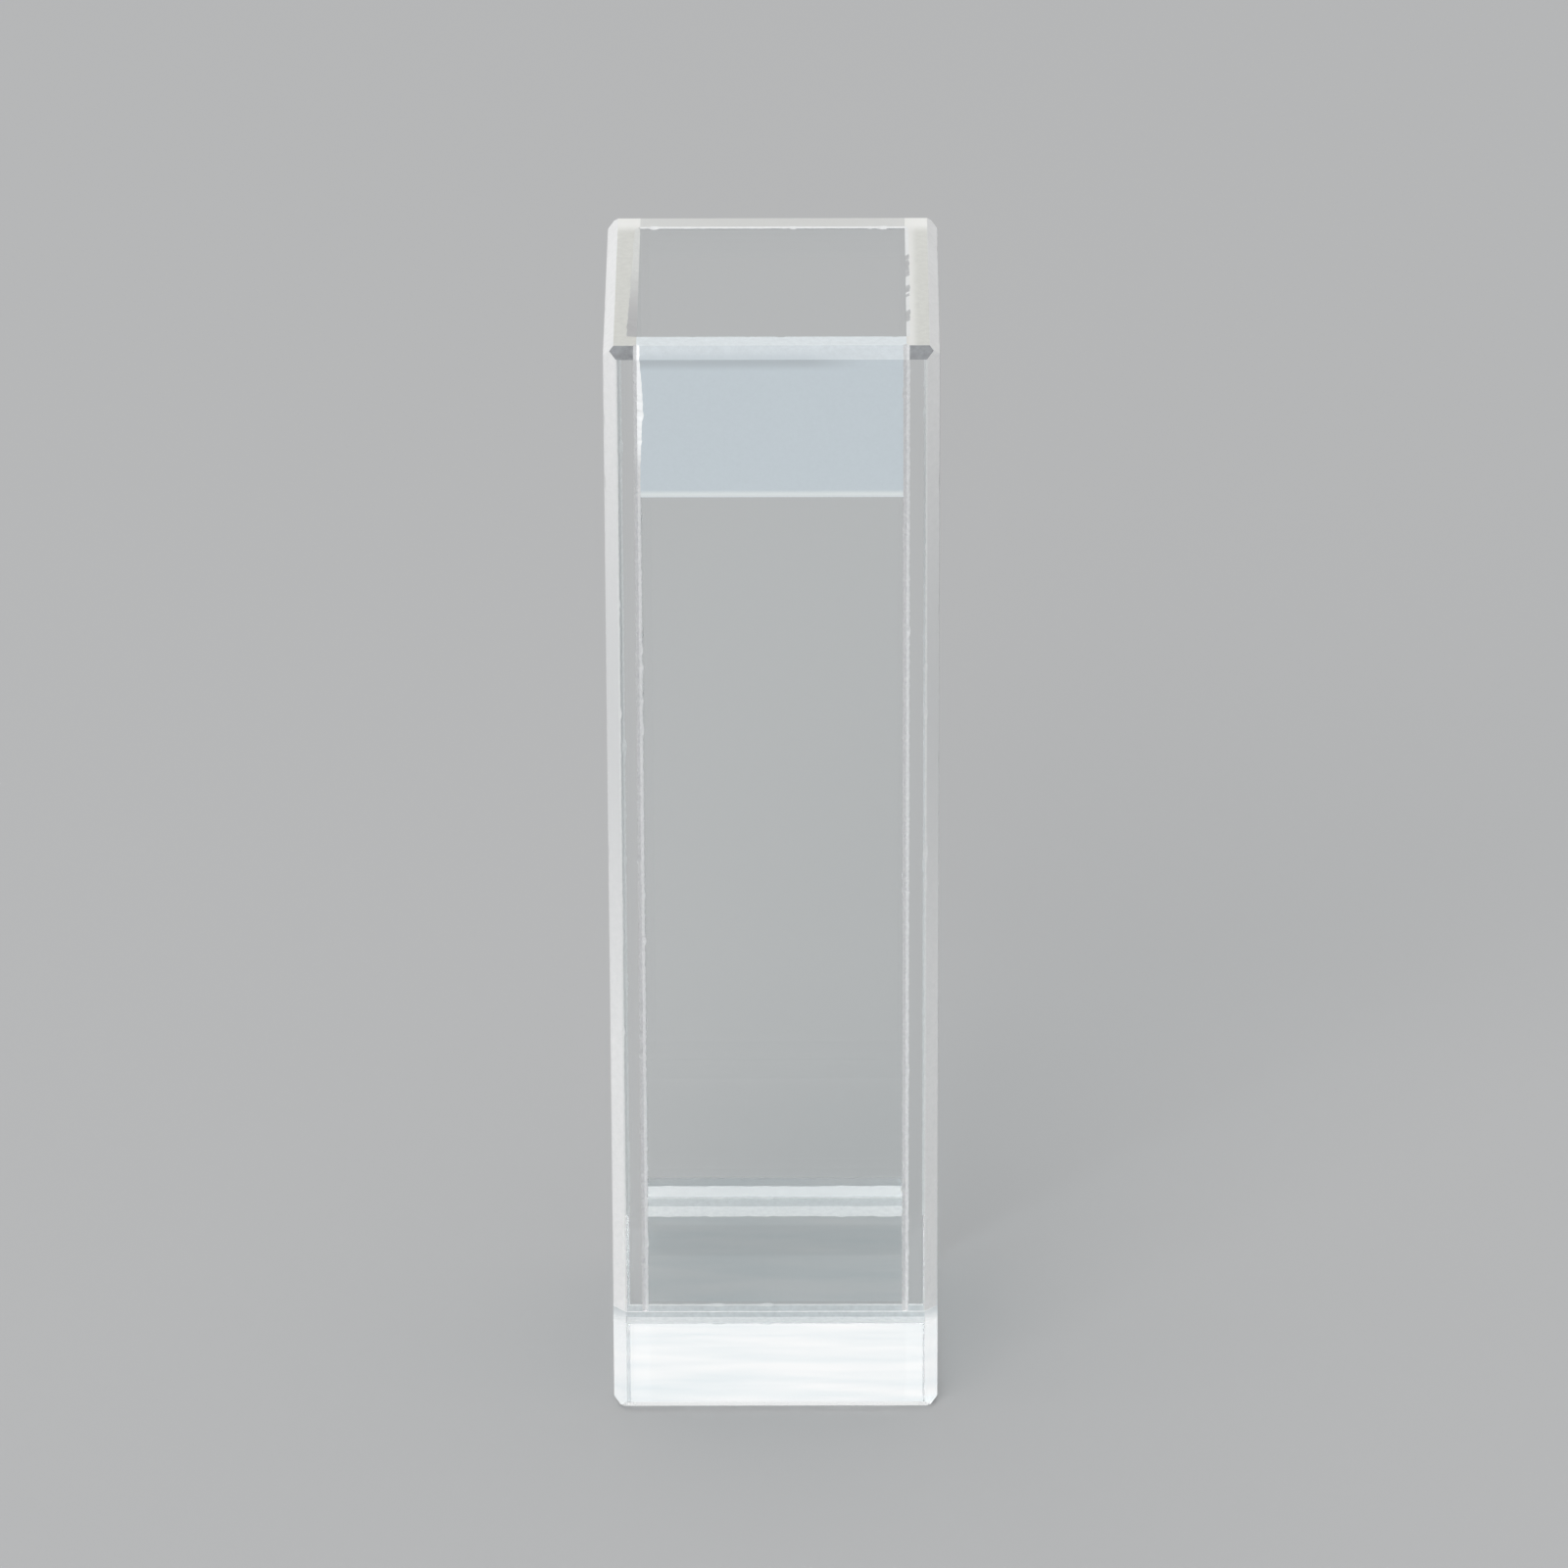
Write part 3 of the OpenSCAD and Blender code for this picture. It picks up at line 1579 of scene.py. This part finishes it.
@dataclass(frozen=True)
class ViewPoint:
    """Where the camera stands. The cell stays square, so the yaw turns the camera round it.

    Attributes:
        distance: from the camera to the point that it turns about, in metres.
        pitch: how far it looks down, in degrees.
        yaw: how far the cell seems turned from square, in degrees.
        roll: how far the camera leans, in degrees.
        aim: the point that the middle of the frame shows.
        focal: focal length as a share of the frame's width.
        sensor: width of the sensor, in millimetres.
        nearest: how near the camera sees, in metres.
        furthest: how far the camera sees, in metres.
    """

    distance: float = 0.440
    pitch: float = 26.50
    yaw: float = -0.25
    roll: float = 0.21
    aim: tuple[float, float, float] = (0.00038, 0.0, 0.02397)
    focal: float = 7.33875
    sensor: float = 36.0
    nearest: float = 0.01
    furthest: float = 20.0

    def make(self) -> None:
        """Builds the camera and makes it the scene's."""
        pitch, yaw, roll = (math.radians(a) for a in (self.pitch, self.yaw, self.roll))
        forward = Vector((0, math.cos(pitch), -math.sin(pitch)))
        upright = Vector((0, math.sin(pitch), math.cos(pitch)))
        right = RIGHT * math.cos(roll) - upright * math.sin(roll)
        up = RIGHT * math.sin(roll) + upright * math.cos(roll)
        turned = Matrix((right, up, -forward)).transposed().to_4x4()
        turned.translation = Vector(self.aim) - forward * self.distance
        data = bpy.data.cameras.new("camera")
        data.sensor_width = self.sensor
        data.lens = self.focal * self.sensor
        data.clip_start = self.nearest
        data.clip_end = self.furthest
        camera = bpy.data.objects.new("camera", data)
        camera.matrix_world = Matrix.Rotation(-yaw, 4, "Z") @ turned
        bpy.context.scene.collection.objects.link(camera)
        bpy.context.scene.camera = camera


@dataclass(frozen=True)
class Lamp:
    """A square soft lamp that faces the cell.

    Attributes:
        name: the lamp's name.
        place: where it hangs.
        size: length of its side, in metres.
        power: its power, in watts.
        target: what it faces.
    """

    name: str
    place: tuple[float, float, float]
    size: float
    power: float
    target: tuple[float, float, float] = (0.0, 0.0, 0.02)

    def make(self) -> None:
        """Hangs the lamp."""
        data = bpy.data.lights.new(self.name, "AREA")
        data.shape = "SQUARE"
        data.size = self.size
        data.energy = self.power
        lamp = bpy.data.objects.new(self.name, data)
        lamp.location = self.place
        lamp.rotation_mode = "QUATERNION"
        lamp.rotation_quaternion = (Vector(self.target) - Vector(self.place)).to_track_quat("-Z", "Y")
        bpy.context.scene.collection.objects.link(lamp)


@dataclass(frozen=True)
class Studio:
    """The floor, the lamps, the world and the camera.

    Attributes:
        floor_half: half the floor's side, in metres.
        floor_gap: the air between the cell and the floor, in metres.
        floor_colour: colour of the floor.
        surround: strength of the white that the eye and the glass see.
        fill: strength of the soft fill that lights matt surfaces.
        lamps: the lamps.
        view: where the camera stands.
        bounces: how often light may turn, enough for it to leave the glass.
        mirrored: how often it may be mirrored.
    """

    floor_half: float = 3.0
    floor_gap: float = 0.02 * MM
    floor_colour: Colour = (0.49, 0.495, 0.50)
    surround: float = 1.0
    fill: float = 0.45
    lamps: tuple[Lamp, ...] = (
        Lamp("overhead", (-0.30, 0.15, 3.0), size=3.0, power=35.0),
        Lamp("front", (-1.16, -2.60, 1.65), size=2.0, power=54.0),
    )
    view: ViewPoint = ViewPoint()
    bounces: int = 32
    mirrored: int = 16

    def floor(self) -> None:
        """Lays the plain pale floor just under the cell, with air between them."""
        mesh = bmesh.new()
        bmesh.ops.create_grid(mesh, x_segments=1, y_segments=1, size=self.floor_half)
        bmesh.ops.translate(mesh, verts=mesh.verts[:], vec=-self.floor_gap * UP)
        data = bpy.data.meshes.new("floor")
        mesh.to_mesh(data)
        mesh.free()
        tree = ShaderTree.named("floor_card")
        card = tree.add("ShaderNodeBsdfDiffuse", Color=opaque(self.floor_colour))
        data.materials.append(tree.finish(card.outputs[0]))
        piece = bpy.data.objects.new("floor", data)
        bpy.context.scene.collection.objects.link(piece)

    def world(self) -> None:
        """A white surround to the eye and in the glass, and a soft fill to matt surfaces."""
        tree = ShaderTree(bpy.data.worlds.new("surround"))
        fill = tree.add("ShaderNodeBackground", Color=opaque(WHITE), Strength=self.fill)
        shown = tree.add("ShaderNodeBackground", Color=opaque(WHITE), Strength=self.surround)
        seen = tree.rays("Is Camera Ray", "Is Glossy Ray", "Is Transmission Ray")
        bpy.context.scene.world = tree.finish(tree.mix(seen, fill.outputs[0], shown.outputs[0]))

    def render_settings(self) -> None:
        """Plain colour handling, and enough bounces for light to leave the glass."""
        scene = bpy.context.scene
        scene.view_settings.view_transform = "Standard"
        scene.cycles.max_bounces = self.bounces
        scene.cycles.transmission_bounces = self.bounces
        scene.cycles.transparent_max_bounces = self.bounces
        scene.cycles.glossy_bounces = self.mirrored

    def make(self) -> None:
        """Builds everything round the cell."""
        self.floor()
        self.world()
        for lamp in self.lamps:
            lamp.make()
        self.view.make()
        self.render_settings()


def main() -> None:
    """Builds the cell and the studio."""
    logging.basicConfig(level=logging.INFO, format="%(name)s: %(message)s")
    pieces = Cuvette(CellSizes.from_frame()).make()
    log.info("%d pieces", len(pieces))
    Studio().make()


if __name__ == "__main__":
    main()
